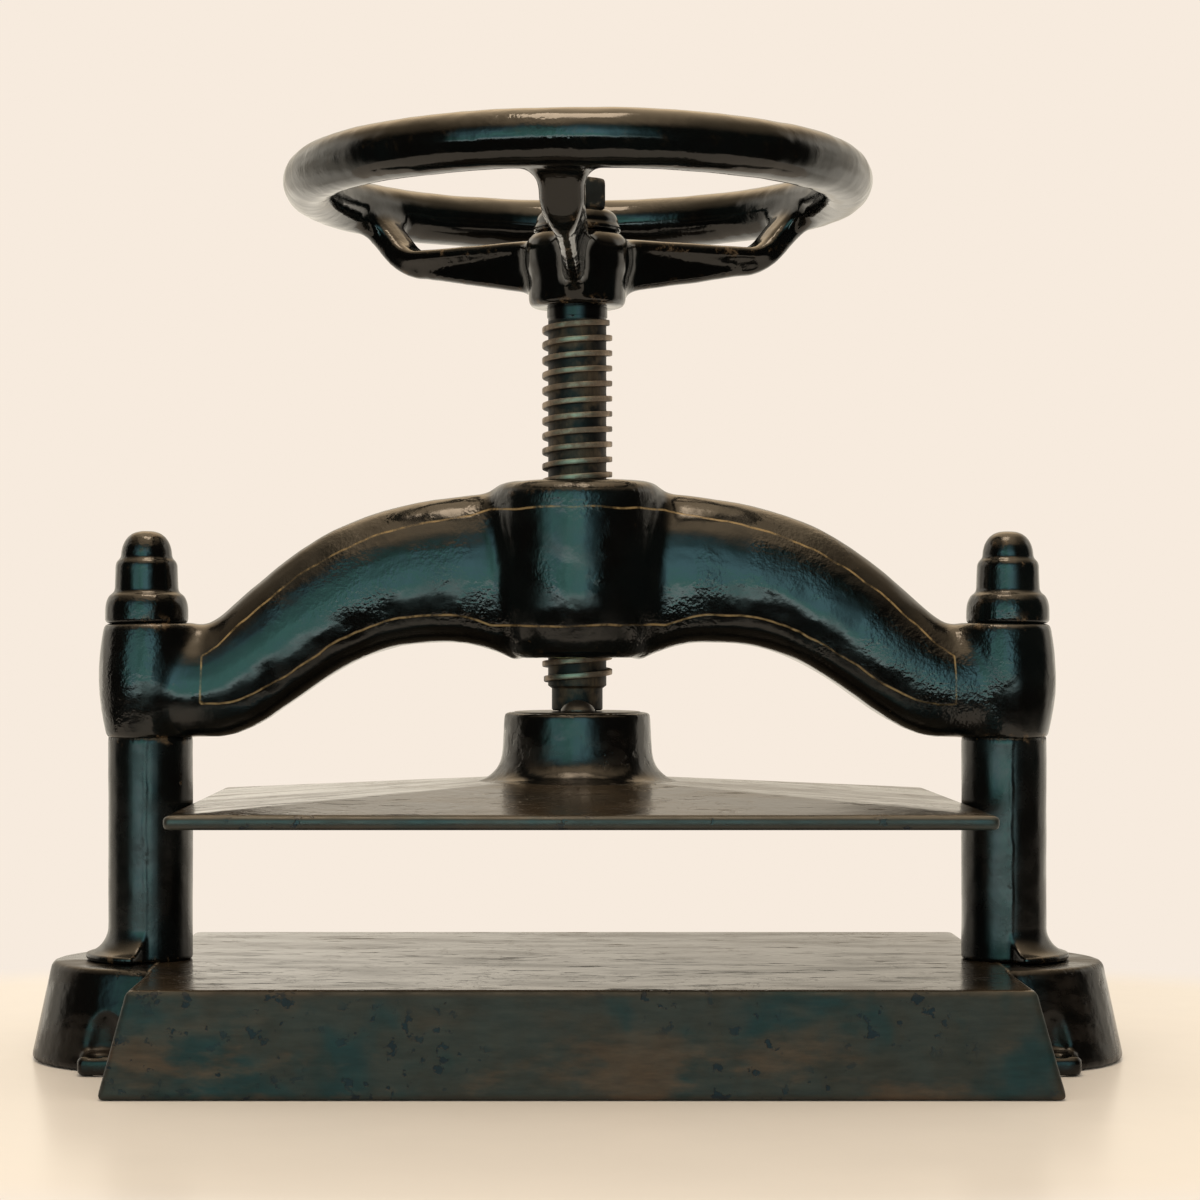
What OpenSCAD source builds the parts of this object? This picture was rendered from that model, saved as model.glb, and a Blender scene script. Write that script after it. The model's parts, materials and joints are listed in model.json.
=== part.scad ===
// Copying press: a cast-iron screw press with a bed, two round columns, an arched bridge,
// a square-thread screw with a dished three-spoke hand wheel, and a hipped platen.
// X runs to the right, Y to the back and Z up. The origin is on the bench under the middle of the bed.
// All lengths are in millimetres.

/* [Bed] */
// Width of the bed's top face
bed_w = 347; // [336:1:356]
// Depth of the bed's top face, front to back
bed_d = 214; // [200:1:230]
// Height of the bed's top face above the bench
bed_h = 40.6; // [38:0.1:46]
// How far the skirt stands out at the bench, on each side
bed_flare = 10; // [7:0.5:12]
// Thickness of the plate under the work
bed_top_t = 13; // [10:0.5:15]
// Thickness of the skirt's wall
bed_wall = 11; // [8:0.5:13]
// Thickness of the two ribs under the plate
rib_t = 9; // [6:0.5:12]
// Radius at the bench of the round lug under each column
lug_r_foot = 51.2; // [48:0.2:54]
// Radius of the lug at its top
lug_r_top = 42.5; // [40:0.5:45]

/* [Bench screws] */
// Distance between the screw holes, side to side
ear_span_x = 385; // [381:1:388]
// Distance between the screw holes, front to back
ear_span_y = 102; // [98:1:106]
// Diameter of each screw hole
ear_hole_d = 8.6; // [5:0.1:9]
// Thickness of the ears
ear_t = 8; // [6:0.5:10]

/* [Columns] */
// Distance between the inner sides of the two columns
col_gap = 322.4; // [318:0.2:326]
// Radius of a column
col_r = 17.6; // [17:0.1:19]
// Height of a column, from the lug to the bridge
col_h = 92.4; // [85:0.1:110]
// How far the foot flares out beyond the shaft, on the outer side
foot_flare = 9.3; // [6:0.1:11]
// Height of the flared foot
foot_h = 15; // [12:0.5:24]
// Lean of the flare's two ends, seen from above
foot_lean = 24; // [10:1:40]

/* [Tie bolts] */
// Diameter of the tie bolt through each column
bolt_d = 15.9; // [12:0.1:17]
// Clearance between a bolt and its hole, on the radius
bolt_clear = 0.4; // [0.2:0.1:0.6]
// Width across the flats of the square bolt head
bolt_head_af = 26; // [22:0.5:28]
// Thickness of the bolt head
bolt_head_t = 11; // [8:0.5:13]
// Depth of the bolt head below the lug's underside
bolt_head_sunk = 2; // [1:0.5:4]
// Diameter of the finial nut's foot
finial_d = 34.5; // [32:0.5:35]
// Height of the finial nut
finial_h = 38.7; // [34:0.1:44]
// Diameter of the dowel pins that keep the columns from turning
dowel_d = 5; // [4:0.5:6]
// Depth that a dowel pin enters each casting
dowel_depth = 8; // [6:0.5:10]

/* [Bridge] */
// Height of the sockets on the columns
socket_h = 48; // [46:0.5:52]
// How far the socket's barrel swells beyond the column
socket_swell = 2.8; // [2:0.1:4]
// Radius of the middle boss
boss_r = 36.6; // [35:0.1:38]
// Height of the boss's lower end above the columns
boss_low = 33.6; // [30:0.1:36]
// Height of the boss's top above the columns
boss_top = 107; // [105:0.5:110]
// Height of the arm's back at the boss, above the columns
arm_top = 102.6; // [100:0.1:103.5]
// Height of the arch under the arms, above the columns
arm_under = 40.1; // [38:0.1:43]
// Depth of the arms, front to back
arm_d = 39; // [34:0.5:42]
// Radius of the arm's lower edges
arm_edge = 12; // [8:0.5:14]
// How far the arm's face leans out above its lower edge
arm_lean = 1.2; // [0.5:0.1:2]

/* [Screw] */
// Pitch of the single-start square thread
pitch = 6.35; // [6:0.01:7]
// Outer diameter of the thread
screw_d = 29.6; // [28:0.1:31]
// Depth of the thread
thread_depth = 2.45; // [1.8:0.05:2.6]
// Width of the thread's crest along the screw
crest_w = 2.6; // [2.2:0.1:2.9]
// Length of the threaded part
thread_len = 153.4; // [148:0.2:158]
// Gap between the screw's thread and the nut's thread
thread_clear = 0.35; // [0.3:0.05:0.45]
// Direction in which the thread starts, seen from above
thread_turn = 142; // [0:1:359]
// Diameter of the plain spindle under the thread
spindle_d = 21.3; // [20:0.1:22]
// Length of the plain spindle above the platen's boss
spindle_len = 11.4; // [10:0.2:14]
// Diameter of the bronze nut in the bridge
nut_d = 44; // [40:0.5:46]
// Length of the bronze nut
nut_len = 56; // [48:0.5:62]

/* [Hand wheel] */
// Outer diameter of the wheel
wheel_d = 246; // [230:1:260]
// Diameter of the rim's round section
rim_d = 22.8; // [20:0.2:25]
// Height of the rim's middle above the hub's underside
dish_h = 51.5; // [48:0.5:54]
// Height of the hub
hub_h = 31.4; // [30:0.2:33]
// Largest radius of the hub
hub_r = 22.1; // [21:0.1:24]
// Direction of the first spoke, seen from above
spoke_turn = -94.4; // [-120:0.1:0]
// Width of a spoke's flange on its straight part
flange_w = 18; // [15:0.5:20]
// Depth of a spoke at the hub
keel_hub = 23; // [20:0.5:25]
// Depth of a spoke at its bend
keel_bend = 12; // [10:0.5:14]
// Diameter of the wheel's seat on the screw
seat_d = 21; // [19:0.5:22]
// Side of the square key
key_side = 6; // [5:0.5:7]
// Width across the flats of the wheel nut
wheel_nut_af = 23; // [21:0.5:25]

/* [Platen] */
// Height of the platen's face above the bed at rest
daylight = 60.6; // [40:0.1:64]
// Gap between the platen's end and a column
platen_gap = 1; // [0.8:0.1:5]
// Depth of the platen, front to back
platen_d = 207; // [195:1:214]
// Thickness of the platen at its edge
platen_edge = 5.5; // [4:0.1:7]
// Rise of the hipped back from the edge to the boss
platen_rise = 9; // [7:0.5:11]
// Radius of the platen's boss at its top
cup_r = 30.5; // [30:0.5:33]
// Height of the boss's top above the platen's face
cup_h = 43; // [41:0.5:46]
// Radius of the concave flare at the foot of the boss
cup_flare = 6.5; // [4:0.5:9]
// Thickness of the keep plates
keep_t = 5; // [4:0.5:6]
// Distance of each keep screw from the middle
keep_screw_y = 19; // [18.5:0.1:19.5]
// Diameter of the keep screw's round head
keep_head_d = 15; // [12:0.5:15.5]

/* [Hidden] */
$fn = 64;
seg = 24;
eps = 0.01;
col_x = col_gap / 2 + col_r;
bolt_x = col_x + 1.7;
lug_x = col_x - 2;
seat_z = bed_h + col_h;
socket_top = seat_z + socket_h;
bolt_bore_r = bolt_d / 2 + bolt_clear;
head_seat_z = bolt_head_sunk + bolt_head_t;
dowel_y = (col_r + bolt_bore_r) / 2;
core_r = bolt_head_af * 0.73 + bed_wall + 1;
pocket_top = bed_h - bed_top_t;
platen_z = bed_h + daylight;
platen_w = col_gap - 2 * platen_gap;
cup_top = platen_z + cup_h;
cup_floor = platen_z + 9.8;
disc_t = 4;
cup_bore_r = spindle_d / 2 + 1.15;
foot_r = cup_bore_r - 0.4;
neck_r = 8;
keep_r = 26.8;
keep_screw_len = 10;
foot_z = cup_floor + disc_t;
keep_z = cup_top - keep_t;
thread_z = cup_top + spindle_len;
hub_z = thread_z + thread_len + 4;
hub_top = hub_z + hub_h;
rim_z = hub_z + dish_h;
rim_r = wheel_d / 2 - rim_d / 2;
washer_t = 9.3;
nut_h = 12.6;
root_r = screw_d / 2 - thread_depth;
nut_z = seat_z + boss_low;
turns = (thread_len - crest_w - 0.4) / pitch;

// A solid skinned over a row of sections that share a point count
module skin(sections) {
    n = len(sections[0]);
    m = len(sections);
    points = [for (s = sections) for (p = s) p];
    sides = [for (i = [0 : m - 2]) for (j = [0 : n - 1])
        [i * n + j, (i + 1) * n + j, (i + 1) * n + (j + 1) % n, i * n + (j + 1) % n]];
    first = [for (j = [0 : n - 1]) j];
    last = [for (j = [n - 1 : -1 : 0]) (m - 1) * n + j];
    polyhedron(points = points, faces = concat(sides, [first], [last]), convexity = 6);
}

// One side of an arm's section: a rounding below, a face that leans out from the crease above it
// to the greatest half depth, and an elliptical back
function arm_side(low, high) = let (
        half = arm_d / 2,
        foot = half - arm_lean - arm_edge * (1 - cos(25)),
        crease = low + arm_edge * (1 - sin(25)),
        middle = low + 0.42 * (high - low))
    concat(
        [for (i = [0 : 4]) let (a = -90 + 65 * i / 4)
            [half - arm_lean - arm_edge * (1 - cos(a)), low + arm_edge * (1 + sin(a))]],
        [for (i = [1 : 3]) let (t = 1 - i / 3)
            [half - (half - foot) * t * t, mix(crease, middle, i / 3)]],
        [for (i = [1 : 7]) let (a = 90 * i / 8)
            [half * cos(a), middle + (high - middle) * sin(a)]]);
function arm_outline(low, high) = let (side = arm_side(low, high)) concat(
    side, [[0, high]], [for (i = [len(side) - 1 : -1 : 0]) [-side[i][0], side[i][1]]]);

// A smooth step from 1 to 0 as t goes from 0 to 1
function ease(t) = (1 + cos(180 * min(1, max(0, t)))) / 2;

// A straight value between a and b
function mix(a, b, t) = a + (b - a) * min(1, max(0, t));

// The outline of a plate whose sides slope from low to high, above an upright edge where it has one
function slope_outline(low, high, z_low, z_high, edge) = concat(
    [[-low, z_low], [low, z_low]],
    edge > 0 ? [[low, z_low + edge]] : [],
    [[high, z_high], [-high, z_high]],
    edge > 0 ? [[-low, z_low + edge]] : []);

// A plate with sloping sides, by its half sizes at the bottom and the top
module wedge_block(x_low, y_low, x_high, y_high, z_low, z_high, edge = 0) {
    intersection() {
        rotate([90, 0, 0])
            linear_extrude(height = 2 * y_low + 2, center = true)
                polygon(slope_outline(x_low, x_high, z_low, z_high, edge));
        rotate([90, 0, 90])
            linear_extrude(height = 2 * x_low + 2, center = true)
                polygon(slope_outline(y_low, y_high, z_low, z_high, edge));
    }
}

// A rod with a right-hand square thread, its root cylinder longer than the thread at both ends
module thread_rod(z_low, z_first, count, r_root, r_crest, width, z_high) {
    total = floor(count * seg);
    function ring(z) = [for (i = [0 : seg - 1]) let (a = 360 * i / seg)
        [r_root * cos(a), r_root * sin(a), z]];
    function at(k, r, z) = [r * cos(360 * k / seg), r * sin(360 * k / seg), z_first + pitch * k / seg + z];
    function step(k) = [at(k, r_root, 0), at(k, r_crest, 0), at(k, r_crest, width), at(k, r_root, width)];
    helix = [for (k = [0 : total]) for (p = step(k)) p];
    points = concat(ring(z_low), ring(z_high), helix);
    function h(k, c) = 2 * seg + 4 * k + c;
    function low(k) = k % seg;
    function top(k) = seg + k % seg;
    flanks = [for (k = [0 : total - 1]) for (c = [0 : 2])
        [h(k, c), h(k, c + 1), h(k + 1, c + 1), h(k + 1, c)]];
    roots = [for (k = [0 : total - seg - 1]) [h(k, 3), h(k + seg, 0), h(k + seg + 1, 0), h(k + 1, 3)]];
    below = [for (k = [0 : seg - 2]) [low(k), h(k, 0), h(k + 1, 0), low(k + 1)]];
    below_seam = [[h(seg - 1, 0), h(seg, 0), h(0, 3)], [h(seg - 1, 0), h(0, 3), h(0, 0)],
        [low(seg - 1), h(seg - 1, 0), h(0, 0)], [low(seg - 1), h(0, 0), low(0)]];
    end = total - seg;
    above_seam = [[h(end, 3), h(total, 0), h(end + 1, 3)], [h(total, 0), h(total, 3), h(end + 1, 3)],
        [h(total, 3), top(end), top(end + 1)], [h(total, 3), top(end + 1), h(end + 1, 3)]];
    above = [for (k = [end + 1 : total - 1]) [h(k, 3), top(k), top(k + 1), h(k + 1, 3)]];
    start_face = [h(0, 0), h(0, 3), h(0, 2), h(0, 1)];
    end_face = [h(total, 0), h(total, 1), h(total, 2), h(total, 3)];
    floor_face = [for (i = [0 : seg - 1]) i];
    roof_face = [for (i = [seg - 1 : -1 : 0]) seg + i];
    polyhedron(
        points = points,
        faces = concat(flanks, roots, below, below_seam, above_seam, above,
            [start_face], [end_face], [floor_face], [roof_face]),
        convexity = 20);
}

// Copies to the left and to the right
module both_sides() {
    children();
    mirror([1, 0, 0]) children();
}

// Copies to the front and to the back
module both_faces() {
    children();
    mirror([0, 1, 0]) children();
}

module ear() {
    x = ear_span_x / 2;
    y = ear_span_y / 2;
    reach = ear_hole_d / 2 + 3.7;
    linear_extrude(height = ear_t) {
        translate([x - 20, y - 14]) square([20 + reach, 11 + reach]);
        translate([x - 20, y - 14]) square([17 + reach, 14 + reach]);
        translate([x + reach - 3, y + reach - 3]) circle(r = 3);
    }
}

// The hollow that a screw head and its driver need in the lug's side, above an ear
module scoop() {
    r = ear_hole_d / 2 + 5.2;
    translate([ear_span_x / 2, ear_span_y / 2, ear_t]) {
        cylinder(r = r, h = r);
        translate([0, 0, r]) sphere(r = r);
    }
}

module base() {
    color("#1d2523")
    difference() {
        union() {
            wedge_block(bed_w / 2 + bed_flare, bed_d / 2 + bed_flare, bed_w / 2, bed_d / 2, 0, bed_h);
            both_sides() {
                translate([lug_x, 0, 0]) cylinder(r1 = lug_r_foot, r2 = lug_r_top, h = bed_h);
                both_faces() ear();
            }
        }
        difference() {
            wedge_block(bed_w / 2 + bed_flare - bed_wall, bed_d / 2 + bed_flare - bed_wall,
                bed_w / 2 - bed_wall, bed_d / 2 - bed_wall, -eps, pocket_top);
            both_sides() {
                translate([bolt_x, 0, -1]) cylinder(r = core_r, h = bed_h);
                translate([bed_w / 6 - rib_t / 2, -bed_d, -1]) cube([rib_t, 2 * bed_d, bed_h]);
            }
        }
        both_sides() {
            translate([bolt_x, 0, -1]) cylinder(r = bolt_bore_r, h = bed_h + 2);
            translate([bolt_x - bolt_head_af / 2 - 0.4, -bolt_head_af / 2 - 0.4, -1])
                cube([bolt_head_af + 0.8, bolt_head_af + 0.8, head_seat_z + 1]);
            translate([col_x, dowel_y, bed_h - dowel_depth]) cylinder(d = dowel_d, h = dowel_depth + 1);
            both_faces() {
                translate([ear_span_x / 2, ear_span_y / 2, -1]) cylinder(d = ear_hole_d, h = ear_t + 2);
                scoop();
            }
        }
    }
}

// The right-hand column: a round shaft whose foot flares on the outer side only
module column() {
    root = col_r - 0.3;
    sweep = foot_flare + 0.3;
    color("#181d1f")
    difference() {
        translate([col_x, 0, bed_h]) {
            cylinder(r = col_r, h = col_h);
            intersection() {
                rotate_extrude()
                    polygon(concat(
                        [[0, 0], [root + sweep - 1.2, 0], [root + sweep, 1.2], [root + sweep, 3]],
                        [for (i = [1 : 8]) let (a = 90 * i / 8)
                            [root + sweep * (1 - sin(a)), 3 + (foot_h - 3) * (1 - cos(a))]],
                        [[0, foot_h]]));
                linear_extrude(height = foot_h + 1) foot_plan();
            }
        }
        translate([bolt_x, 0, bed_h - 1]) cylinder(r = bolt_bore_r, h = col_h + 2);
        translate([col_x, dowel_y, bed_h - 1]) cylinder(d = dowel_d, h = dowel_depth + 1);
        translate([col_x, dowel_y, seat_z - dowel_depth]) cylinder(d = dowel_d, h = dowel_depth + 1);
    }
}

// The outline that trims the flare: its ends lean outwards from the front and the back of the shaft
module foot_plan() {
    edge = col_r - 0.5;
    reach = 2 * (col_r + foot_flare);
    polygon([[0, -edge], [reach * sin(foot_lean), -edge - reach * cos(foot_lean)], [reach, -reach],
        [reach, reach], [reach * sin(foot_lean), edge + reach * cos(foot_lean)], [0, edge]]);
}

module right_column() {
    column();
}

module left_column() {
    mirror([1, 0, 0]) column();
}

// The bridge's arm: its back and its arch follow their own smooth steps from boss to socket
arm_foot = col_x - 2;
back_low = socket_h - 6;
back_end = col_x - col_r + 6.2;
back_rate = 63.5;
arch_low = 0.6;
arch_start = 52.9;
arch_end = col_x - col_r - 9.7;
function back_step(x) = ease(exp((x - back_end) / back_rate));
function arm_back(x) = seat_z + max(socket_h - 1.2,
    back_low + (arm_top - back_low) * back_step(x) / back_step(boss_r));
function arm_arch(x) = x < arch_start
    ? seat_z + arm_under - 8.2 * pow((arch_start - x) / 28, 2)
    : seat_z + arch_low
        + (arm_under - arch_low) * ease(pow((x - arch_start) / (arch_end - arch_start), 1.33));
function arm_section(x) = [for (p = arm_outline(arm_arch(x), arm_back(x))) [x, p[0], p[1]]];

module arm() {
    steps = 22;
    skin([for (i = [0 : steps]) arm_section(mix(boss_r - 10.6, arm_foot, i / steps))]);
}

module socket() {
    translate([col_x, 0, seat_z])
        rotate_extrude()
            polygon(concat(
                [[0, 0], [col_r, 0]],
                [for (i = [0 : 8]) let (t = i / 8)
                    [col_r + 0.6 + socket_swell * sin(180 * pow(t, 0.95)) + 1.3 * t,
                        0.8 + (socket_h - 2.2) * t]],
                [[col_r + 0.7, socket_h], [0, socket_h]]));
}

module bridge() {
    color("#15262b")
    difference() {
        union() {
            translate([0, 0, seat_z])
                rotate_extrude()
                    polygon([[0, boss_low], [boss_r - 9, boss_low], [boss_r - 5.4, boss_low + 2.2],
                        [boss_r - 3, boss_low + 7], [boss_r - 1.2, boss_low + 14],
                        [boss_r - 0.3, boss_low + 20], [boss_r, boss_low + 26], [boss_r, boss_top - 5.4],
                        [boss_r - 1, boss_top - 3.4], [boss_r - 3, boss_top - 1.3],
                        [boss_r - 5.4, boss_top - 0.2], [boss_r - 6.4, boss_top], [0, boss_top]]);
            both_sides() {
                arm();
                socket();
            }
        }
        translate([0, 0, nut_z - 1]) cylinder(d = nut_d, h = nut_len + 1);
        translate([0, 0, nut_z]) cylinder(d = screw_d + 1.2, h = boss_top);
        translate([0, nut_d / 2, nut_z - 1]) cylinder(d = 4, h = 17);
        both_sides() {
            translate([bolt_x, 0, seat_z - 1]) cylinder(r = bolt_bore_r, h = socket_h + 2);
            translate([col_x, dowel_y, seat_z - 1]) cylinder(d = dowel_d, h = dowel_depth + 1);
        }
    }
}

module tie_bolt() {
    color("#565a5b")
    translate([bolt_x, 0, 0]) {
        translate([-bolt_head_af / 2, -bolt_head_af / 2, head_seat_z - bolt_head_t])
            cube([bolt_head_af, bolt_head_af, bolt_head_t]);
        translate([0, 0, head_seat_z - 1]) cylinder(d = bolt_d, h = socket_top + 24 - head_seat_z + 1);
    }
}

module right_tie_bolt() {
    tie_bolt();
}

module left_tie_bolt() {
    mirror([1, 0, 0]) tie_bolt();
}

// A blind nut in three round tiers with a domed top
module finial() {
    r = finial_d / 2;
    low = finial_h * 0.325;
    mid = finial_h * 0.68;
    color("#1a1c1d")
    translate([bolt_x, 0, socket_top])
        rotate_extrude()
            polygon(concat(
                [[bolt_d / 2 + 0.1, 0], [r - 0.8, 0], [r, 0.8], [r, low * 0.42]],
                [for (i = [1 : 6]) let (a = 90 * i / 6)
                    [r - r * 0.2 * (1 - cos(a)), low * 0.42 + low * 0.58 * sin(a)]],
                [[r * 0.77, low], [r * 0.77, low + 1.2], [r * 0.745, mid - 1.8]],
                [[r * 0.7, mid], [r * 0.62, mid]],
                [for (i = [0 : 7]) let (a = 90 * i / 7)
                    [r * 0.62 * pow(cos(a), 0.72), mid + (finial_h - mid) * (0.12 + 0.88 * sin(a))]],
                [[0, 26], [bolt_d / 2 + 0.1, 26]]));
}

module right_finial() {
    finial();
}

module left_finial() {
    mirror([1, 0, 0]) finial();
}

module column_dowels() {
    color("#6a6d6d")
    both_sides()
        for (z = [bed_h, seat_z])
            translate([col_x, dowel_y, z - dowel_depth]) cylinder(d = dowel_d, h = 2 * dowel_depth);
}

module screw_nut() {
    first = floor((nut_z - thread_z) / pitch) - 1;
    start_z = thread_z + pitch * first - thread_clear;
    color("#8a6a35")
    difference() {
        translate([0, 0, nut_z]) cylinder(d = nut_d, h = nut_len);
        rotate([0, 0, thread_turn])
            thread_rod(start_z - 2, start_z, ceil(nut_len / pitch) + 3, root_r + thread_clear,
                screw_d / 2 + thread_clear, crest_w + 2 * thread_clear, nut_z + nut_len + 5 * pitch);
        translate([0, nut_d / 2, nut_z - 1]) cylinder(d = 4, h = 17);
    }
}

module nut_pin() {
    color("#6a6d6d")
    translate([0, nut_d / 2, nut_z]) cylinder(d = 4, h = 16);
}

module platen() {
    rise = platen_edge + platen_rise;
    color("#20282a")
    difference() {
        union() {
            wedge_block(platen_w / 2, platen_d / 2, cup_r, cup_r, platen_z, platen_z + rise, platen_edge);
            translate([0, 0, platen_z + 1])
                rotate_extrude()
                    polygon(concat(
                        [[0, 0], [cup_r + 1 + cup_flare, 0], [cup_r + 1 + cup_flare, rise - 1.6]],
                        [for (i = [1 : 6]) let (a = 90 * i / 6)
                            [cup_r + 1 + cup_flare * (1 - sin(a)),
                                rise - 1.6 + cup_flare * 1.5 * (1 - cos(a))]],
                        [[cup_r, cup_h - 2.2], [cup_r - 1.2, cup_h - 1], [0, cup_h - 1]]));
        }
        translate([0, 0, cup_floor]) cylinder(r = cup_bore_r, h = cup_h);
        translate([0, 0, keep_z]) cylinder(r = keep_r + 0.2, h = keep_t + 1);
        both_faces()
            translate([0, keep_screw_y, keep_z - keep_screw_len - 1])
                cylinder(d = 6, h = keep_screw_len + keep_t + 2);
    }
}

// Half of the split plate that holds the screw's foot in the platen
module keep_half() {
    color("#3a3c3a")
    difference() {
        translate([0, 0, keep_z]) cylinder(r = keep_r, h = keep_t);
        translate([0, 0, keep_z - 1]) cylinder(r = neck_r + 0.4, h = keep_t + 2);
        translate([-2 * keep_r, -0.2, keep_z - 1]) cube([4 * keep_r, 2 * keep_r, keep_t + 2]);
        translate([0, -keep_screw_y, keep_z - 1]) cylinder(d = 6.4, h = keep_t + 2);
    }
}

module front_keep() {
    keep_half();
}

module back_keep() {
    mirror([0, 1, 0]) keep_half();
}

module keep_screws() {
    head_h = keep_head_d * 0.35;
    ball = (keep_head_d * keep_head_d / 4 + head_h * head_h) / (2 * head_h);
    color("#2a2c2c")
    both_faces()
        translate([0, keep_screw_y, cup_top])
            difference() {
                union() {
                    intersection() {
                        translate([0, 0, head_h - ball]) sphere(r = ball);
                        cylinder(d = keep_head_d, h = head_h + 1);
                    }
                    translate([0, 0, -keep_t - keep_screw_len])
                        cylinder(d = 5.8, h = keep_t + keep_screw_len + 1);
                }
                translate([-keep_head_d, -0.8, head_h - 1.8]) cube([2 * keep_head_d, 1.6, 4]);
            }
}

module thrust_disc() {
    color("#8a6a35")
    translate([0, 0, cup_floor]) cylinder(r = cup_bore_r - 0.3, h = disc_t);
}

module press_screw() {
    color("#7d7870")
    difference() {
        union() {
            rotate([0, 0, thread_turn])
                thread_rod(thread_z - 0.5, thread_z, turns, root_r, screw_d / 2, crest_w, hub_z - 3.5);
            translate([0, 0, foot_z])
                rotate_extrude()
                    polygon([[0, 0], [foot_r - 2, 0], [foot_r, 2], [foot_r, keep_z - foot_z - 0.3],
                        [neck_r, keep_z - foot_z - 0.3], [neck_r, cup_top - foot_z + 0.4],
                        [spindle_d / 2, cup_top - foot_z + 0.4], [spindle_d / 2, thread_z - foot_z - 0.5],
                        [0, thread_z - foot_z - 0.5]]);
            translate([0, 0, hub_z - 4]) cylinder(r = root_r + 0.4, h = 4);
            translate([0, 0, hub_z - 1]) cylinder(d = seat_d, h = hub_h + 0.6);
            translate([0, 0, hub_top - 1]) cylinder(d = seat_d - 4, h = washer_t + nut_h + 2);
        }
        translate([seat_d / 2 - key_side / 2, -key_side / 2, hub_z + 2])
            cube([key_side, key_side, hub_h]);
    }
}

// A spoke leaves the hub level, bends up and runs into the rim; a keel stiffens it underneath
bend_r = 14;
spoke_drop = 1.6;
bend_a = 48.5;
spoke_rise = 33;
level_end = rim_r - spoke_rise;
function spoke_point(s) = s < 0
    ? [level_end + s, hub_h - spoke_drop]
    : s < 1
        ? [level_end + bend_r * sin(bend_a * s), hub_h - spoke_drop + bend_r * (1 - cos(bend_a * s))]
        : [level_end + bend_r * sin(bend_a) + (s - 1) * cos(bend_a),
            hub_h - spoke_drop + bend_r * (1 - cos(bend_a)) + (s - 1) * sin(bend_a)];
function spoke_tilt(s) = bend_a * min(1, max(0, s));
function spoke_flange(s) = s < 1
    ? mix(flange_w * 0.66, flange_w, 1 + s / level_end)
    : flange_w + 15 * pow(max(0, s - 9) / 14, 2);
function spoke_keel(s) = s < 0
    ? mix(keel_hub, keel_bend, 1 + s / (level_end - 18))
    : mix(keel_bend, keel_bend - 1, s);
function keel_half(s) = mix(4, spoke_flange(s) / 2 - 0.6, s);
function half_outline(w, d, k, t) = [[w / 2 - 2.6, 0], [w / 2 - 0.8, -0.8], [w / 2, -2.6],
    [w / 2 - mix(1.2, 0.1, t), -4.8], [k + 0.6, -6.2], [k - 0.4, 2 - d], [k - 2, 0.4 - d]];
function spoke_outline(w, d, k, t) = let (half = half_outline(w, d, k, t)) concat(
    [for (q = half) [-q[0], q[1]]], [[0, -d]], [for (i = [6 : -1 : 0]) half[i]], [[0, 0.4]]);
function spoke_section(s) = let (p = spoke_point(s), a = spoke_tilt(s))
    [for (q = spoke_outline(spoke_flange(s), spoke_keel(s), keel_half(s), s))
        [p[0] - q[1] * sin(a), q[0], hub_z + p[1] + q[1] * cos(a)]];

module spoke() {
    level = [for (i = [0 : 6]) mix(14 - level_end, -1, i / 6)];
    bend = [for (i = [0 : 5]) i / 5];
    rise = [for (i = [1 : 7]) 1 + 23 * i / 7];
    skin([for (s = concat(level, bend, rise)) spoke_section(s)]);
}

module hand_wheel() {
    color("#161b1c")
    difference() {
        union() {
            translate([0, 0, rim_z])
                rotate_extrude()
                    translate([rim_r, 0]) circle(d = rim_d);
            translate([0, 0, hub_z])
                rotate_extrude()
                    polygon([[0, 0], [hub_r - 4, 0], [hub_r - 2.2, 1.2], [hub_r - 1.7, 3], [hub_r - 1.7, 13],
                        [hub_r - 0.6, 15.6], [hub_r, 18.5], [hub_r, hub_h - 7], [hub_r - 1, hub_h - 3.6],
                        [hub_r - 3.4, hub_h - 0.9], [hub_r - 6, hub_h], [0, hub_h]]);
            for (i = [0 : 2])
                rotate([0, 0, spoke_turn + 120 * i]) spoke();
        }
        translate([0, 0, hub_z - 1]) cylinder(d = seat_d + 0.2, h = hub_h + 2);
        translate([0, -key_side / 2 - 0.1, hub_z + 2])
            cube([seat_d / 2 + key_side / 2 + 0.1, key_side + 0.2, hub_h]);
    }
}

module wheel_key() {
    color("#6a6d6d")
    translate([seat_d / 2 - key_side / 2, -key_side / 2, hub_z + 2])
        cube([key_side, key_side, hub_h - 2.4]);
}

module wheel_washer() {
    r = hub_r - 3.8;
    color("#1c1e1e")
    translate([0, 0, hub_top])
        rotate_extrude()
            polygon(concat(
                [[seat_d / 2 - 1.8, 0], [r, 0], [r, 2.4], [r - 0.9, 2.8]],
                [for (i = [0 : 5]) let (a = 90 * i / 5)
                    [r - 0.9 - 4.8 * (1 - cos(a)), 3.2 + (washer_t - 3.2) * sin(a)]],
                [[seat_d / 2 - 1.8, washer_t]]));
}

module wheel_nut() {
    color("#1c1e1e")
    translate([0, 0, hub_top + washer_t])
        difference() {
            intersection() {
                translate([-wheel_nut_af / 2, -wheel_nut_af / 2, 0])
                    cube([wheel_nut_af, wheel_nut_af, nut_h]);
                cylinder(r1 = wheel_nut_af * 0.66 + nut_h, r2 = wheel_nut_af * 0.54, h = nut_h + 0.4);
            }
            translate([0, 0, -1]) cylinder(d = seat_d - 3.8, h = nut_h + 2);
        }
}

base();
left_column();
right_column();
bridge();
left_tie_bolt();
right_tie_bolt();
left_finial();
right_finial();
column_dowels();
screw_nut();
nut_pin();
platen();
front_keep();
back_keep();
keep_screws();
thrust_disc();
press_screw();
hand_wheel();
wheel_key();
wheel_washer();
wheel_nut();
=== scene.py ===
import json
import math

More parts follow.
